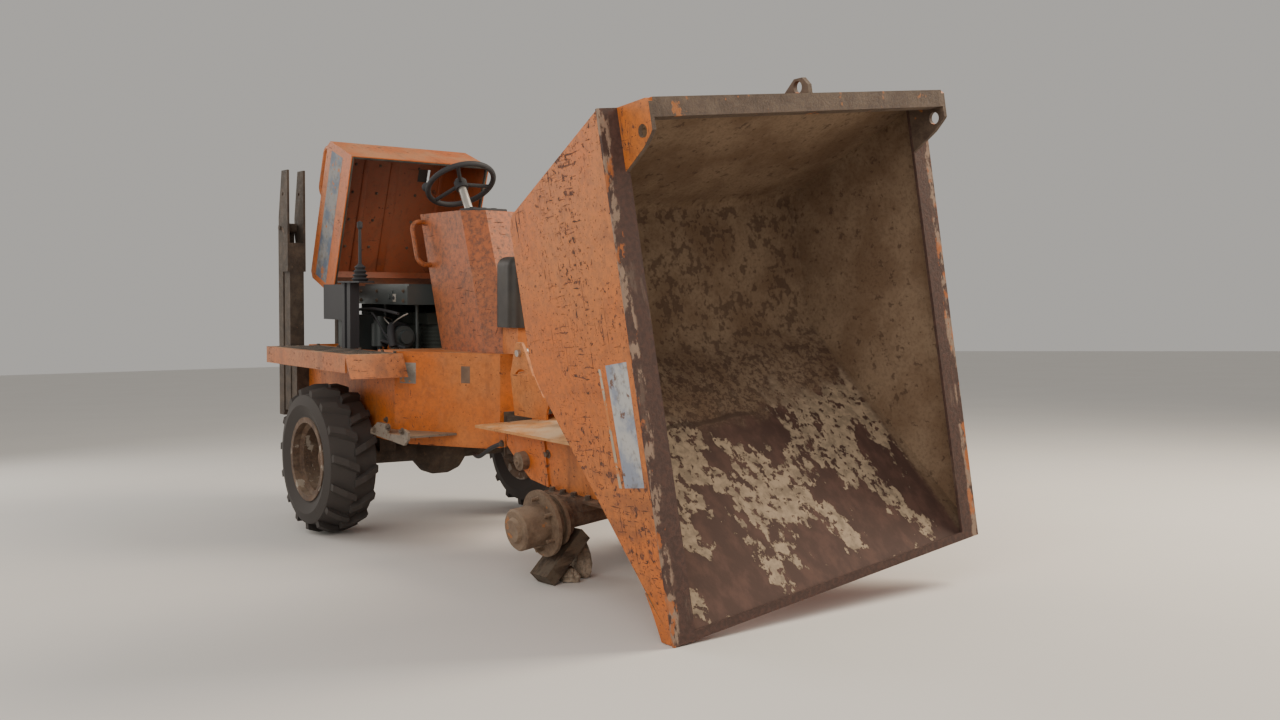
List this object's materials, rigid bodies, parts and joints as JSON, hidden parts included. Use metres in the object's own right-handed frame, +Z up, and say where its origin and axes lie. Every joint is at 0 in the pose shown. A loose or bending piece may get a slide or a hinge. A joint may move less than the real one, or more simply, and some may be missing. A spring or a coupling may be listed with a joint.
{
  "type": "site dumper",
  "caption": "Articulated front-tipping site dumper, skip tipped forward, engine cover raised, roll hoop folded, one front wheel missing and its hub propped.",
  "frame": {"origin": "on the ground, under the middle of the bounding box", "axes": "+X forward, towards the skip; +Y to the left; +Z up"},
  "size_m": [3.9264, 1.724, 2.0649],
  "materials": {
    "black_plastic": "smooth black moulding",
    "black_vinyl": "black vinyl",
    "bright_steel": "worn bright steel",
    "dark_frame": "dark worn paint over rust",
    "engine_iron": "oily dark iron",
    "engine_sheet": "black sheet, dusty",
    "grey_steel": "dusty grey",
    "orange_paint": "faded orange paint, scratched and rust spotted",
    "orange_panel": "faded orange paint",
    "rim_paint": "pale paint rusting through",
    "rusty_steel": "brown rust",
    "stone": "dusty",
    "timber": "weathered",
    "tyre_rubber": "dusty black rubber",
    "worn_skip": "worn and rusted sheet with dried mortar"
  },
  "bodies": {
    "front_unit": {"front_chassis": "orange_paint", "chassis_top_plates": "orange_panel", "ram_tower": "orange_panel", "pivot_head": "rusty_steel", "front_axle": "rusty_steel", "axle_flanges": "rusty_steel", "front_pins": "bright_steel", "prop_timber": "timber", "prop_stones": "stone"},
    "rear_unit": {"rear_chassis": "orange_paint", "floor_plate": "orange_panel", "fenders": "orange_paint", "side_steps": "grey_steel", "rear_yoke": "rusty_steel", "rear_axle": "rusty_steel", "engine_block": "engine_iron", "engine_shroud": "engine_sheet", "engine_ancillaries": "engine_sheet", "gear_lever": "black_plastic", "console": "orange_panel", "console_handle": "orange_panel", "steering_column": "bright_steel", "steering_wheel": "black_plastic", "moulded_tank": "black_plastic", "roll_posts": "dark_frame", "cover_hinge_posts": "dark_frame"},
    "engine_cover": {"cover_shell": "orange_paint", "cover_hinges": "dark_frame", "cover_handle": "orange_panel", "seat_cushion": "black_vinyl"},
    "roll_hoop_frame": {"roll_hoop": "dark_frame"},
    "wheel_rear_right": {"tyre_rear_right": "tyre_rubber", "rim_rear_right": "rim_paint"},
    "wheel_rear_left": {"tyre_rear_left": "tyre_rubber", "rim_rear_left": "rim_paint"},
    "wheel_front_left": {"tyre_front_left": "tyre_rubber", "rim_front_left": "rim_paint"},
    "hub_front_right": {"bare_hub": "rusty_steel"},
    "skip": {"skip_shell": "worn_skip", "skip_rim": "rusty_steel", "skip_rail": "rusty_steel", "skip_lugs": "orange_paint"},
    "ram_barrel_body": {"ram_barrel": "dark_frame"},
    "ram_rod_body": {"ram_rod": "bright_steel"}
  },
  "joints": [
    {"name": "steering", "type": "hinge", "parent": "front_unit", "child": "rear_unit", "pos_m": [-0.05347, 0.05312, 0.5171], "axis": [0.0427, 0, 0.9991], "range_deg": [-35, 35]},
    {"name": "rear_right_wheel", "type": "hinge", "parent": "rear_unit", "child": "wheel_rear_right", "pos_m": [-1.06015, -0.57438, 0.3825], "axis": [0, 1, 0], "continuous": true},
    {"name": "rear_left_wheel", "type": "hinge", "parent": "rear_unit", "child": "wheel_rear_left", "pos_m": [-1.06015, 0.68062, 0.3825], "axis": [0, 1, 0], "continuous": true},
    {"name": "front_left_wheel", "type": "hinge", "parent": "front_unit", "child": "wheel_front_left", "pos_m": [0.7745, 0.69758, 0.38189], "axis": [0.0052, 0.9925, 0.1218], "continuous": true},
    {"name": "front_right_hub", "type": "hinge", "parent": "front_unit", "child": "hub_front_right", "pos_m": [0.76797, -0.54807, 0.22908], "axis": [0.0052, 0.9925, 0.1218], "continuous": true},
    {"name": "skip_tip", "type": "hinge", "parent": "front_unit", "child": "skip", "pos_m": [1.13063, 0.02388, 0.70488], "axis": [0.0052, 0.9925, 0.1218], "range_deg": [-85.06, 0]},
    {"name": "ram_swing", "type": "hinge", "parent": "front_unit", "child": "ram_barrel_body", "pos_m": [0.19535, 0.07018, 0.36737], "axis": [0.0052, 0.9925, 0.1218], "range_deg": [0, 12.22]},
    {"name": "ram_slide", "type": "slide", "parent": "ram_barrel_body", "child": "ram_rod_body", "axis": [0.7948, -0.078, 0.6019], "range_m": [-0.4077, 0]},
    {"name": "cover_hinge", "type": "hinge", "parent": "rear_unit", "child": "engine_cover", "pos_m": [-1.70096, 0.05312, 1.19613], "axis": [0, 1, 0], "range_deg": [0, 70]},
    {"name": "roll_hoop_fold", "type": "hinge", "parent": "rear_unit", "child": "roll_hoop_frame", "pos_m": [-1.834, 0.05312, 1.6192], "axis": [0, 1, 0], "range_deg": [0, 180]}
  ],
  "couplings": [
    {"joint": "ram_swing", "follows": "skip_tip", "ratio": -0.13782},
    {"joint": "ram_slide", "follows": "skip_tip", "m_per_rad": 0.27195}
  ]
}
